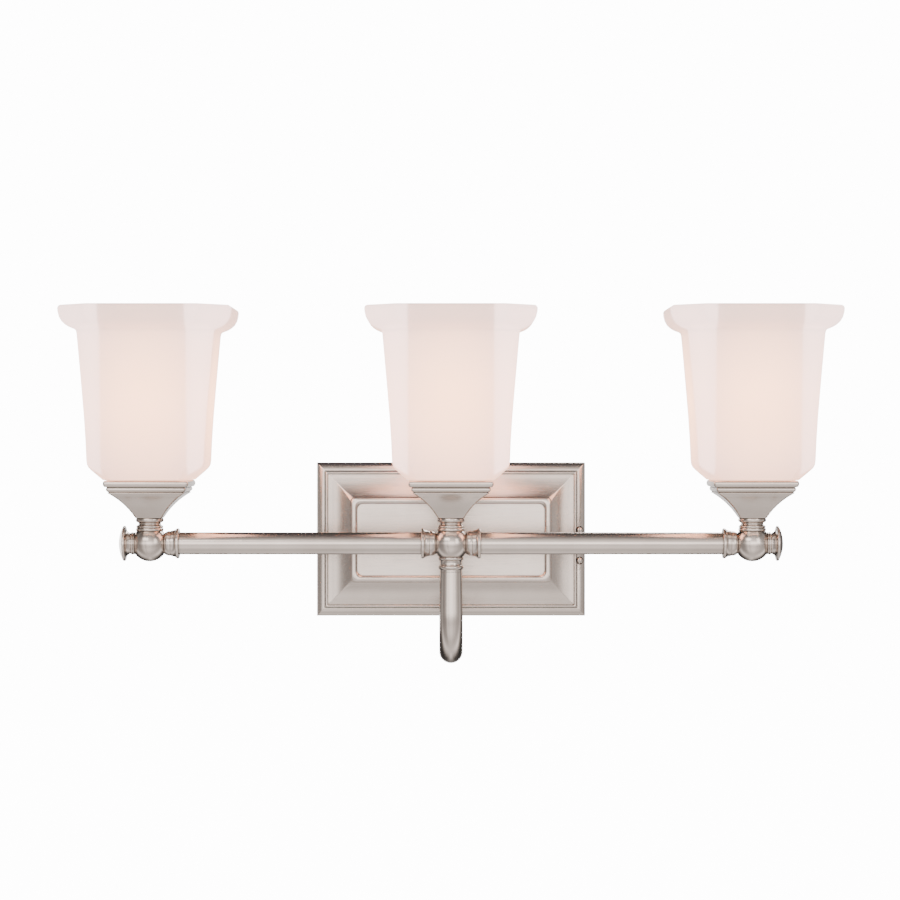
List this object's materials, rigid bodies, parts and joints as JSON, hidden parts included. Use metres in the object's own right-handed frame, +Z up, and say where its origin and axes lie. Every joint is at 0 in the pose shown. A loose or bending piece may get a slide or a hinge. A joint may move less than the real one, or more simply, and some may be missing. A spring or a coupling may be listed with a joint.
{
  "type": "vanity light bar",
  "caption": "Wall light bar with square opal glass shades on a round tube, carried by a bent arm from a moulded rectangular plate.",
  "frame": {"origin": "middle of the wall plate, on the wall plane", "axes": "+Z up, +X along the bar to the viewer's right, the front faces -Y and +Y goes into the wall"},
  "size_m": [0.558, 0.1665, 0.2588],
  "materials": {
    "satin_nickel": "satin brushed nickel plate",
    "opal_glass": "etched opal glass",
    "bulb_glass": "frosted, lit",
    "cap_metal": "bright",
    "brass": "plain",
    "zinc_steel": "zinc plated",
    "green_screw": "green coated",
    "porcelain": "glazed",
    "phenolic": "moulded",
    "vitrite": "black glass insulator",
    "black_insulation": "wire insulation",
    "white_insulation": "wire insulation",
    "green_insulation": "wire insulation",
    "connector_plastic": "moulded"
  },
  "bodies": {
    "fixture": {"arm": "satin_nickel", "arm_lock_nut": "zinc_steel", "arm_lock_washer": "zinc_steel", "arm_rosette": "satin_nickel", "arm_spud": "brass", "backplate": "satin_nickel", "bar_left": "satin_nickel", "bar_right": "satin_nickel", "black_wires": "black_insulation", "end_ball_left": "satin_nickel", "end_ball_right": "satin_nickel", "end_cup_left": "satin_nickel", "end_cup_right": "satin_nickel", "finial_left": "satin_nickel", "finial_right": "satin_nickel", "fitter_centre": "satin_nickel", "fitter_left": "satin_nickel", "fitter_right": "satin_nickel", "ground_screw": "green_screw", "ground_wire": "green_insulation", "hub": "satin_nickel", "hub_collar": "satin_nickel", "hub_cup_left": "satin_nickel", "hub_cup_right": "satin_nickel", "locating_pins": "zinc_steel", "mounting_bracket": "zinc_steel", "neck_centre": "satin_nickel", "neck_left": "satin_nickel", "neck_right": "satin_nickel", "nipple_centre": "brass", "nipple_left": "brass", "nipple_right": "brass", "plate_screws": "satin_nickel", "socket_body_centre": "porcelain", "socket_body_left": "porcelain", "socket_body_right": "porcelain", "socket_contact_centre": "brass", "socket_contact_left": "brass", "socket_contact_right": "brass", "socket_shell_centre": "brass", "socket_shell_left": "brass", "socket_shell_right": "brass", "white_wires": "white_insulation", "wire_connectors": "connector_plastic"},
    "left_shade": {"shade_left": "opal_glass"},
    "left_ring": {"shade_ring_left": "phenolic"},
    "left_bulb": {"bulb_tip_left": "vitrite", "bulb_cap_left": "cap_metal", "bulb_glass_left": "bulb_glass"},
    "centre_shade": {"shade_centre": "opal_glass"},
    "centre_ring": {"shade_ring_centre": "phenolic"},
    "centre_bulb": {"bulb_tip_centre": "vitrite", "bulb_cap_centre": "cap_metal", "bulb_glass_centre": "bulb_glass"},
    "right_shade": {"shade_right": "opal_glass"},
    "right_ring": {"shade_ring_right": "phenolic"},
    "right_bulb": {"bulb_tip_right": "vitrite", "bulb_cap_right": "cap_metal", "bulb_glass_right": "bulb_glass"}
  },
  "joints": [
    {"name": "left_shade_lift", "type": "slide", "parent": "fixture", "child": "left_shade", "axis": [0, 0, 1], "range_m": [0, 0.075]},
    {"name": "left_ring_turn", "type": "hinge", "parent": "left_shade", "child": "left_ring", "pos_m": [-0.2175, -0.105, 0.05], "axis": [0, 0, 1], "range_deg": [0, 990]},
    {"name": "left_bulb_lift", "type": "slide", "parent": "left_shade", "child": "left_bulb", "axis": [0, 0, 1], "range_m": [0, 0.14]},
    {"name": "centre_shade_lift", "type": "slide", "parent": "fixture", "child": "centre_shade", "axis": [0, 0, 1], "range_m": [0, 0.075]},
    {"name": "centre_ring_turn", "type": "hinge", "parent": "centre_shade", "child": "centre_ring", "pos_m": [0, -0.105, 0.05], "axis": [0, 0, 1], "range_deg": [0, 990]},
    {"name": "centre_bulb_lift", "type": "slide", "parent": "centre_shade", "child": "centre_bulb", "axis": [0, 0, 1], "range_m": [0, 0.14]},
    {"name": "right_shade_lift", "type": "slide", "parent": "fixture", "child": "right_shade", "axis": [0, 0, 1], "range_m": [0, 0.075]},
    {"name": "right_ring_turn", "type": "hinge", "parent": "right_shade", "child": "right_ring", "pos_m": [0.2175, -0.105, 0.05], "axis": [0, 0, 1], "range_deg": [0, 990]},
    {"name": "right_bulb_lift", "type": "slide", "parent": "right_shade", "child": "right_bulb", "axis": [0, 0, 1], "range_m": [0, 0.14]}
  ]
}
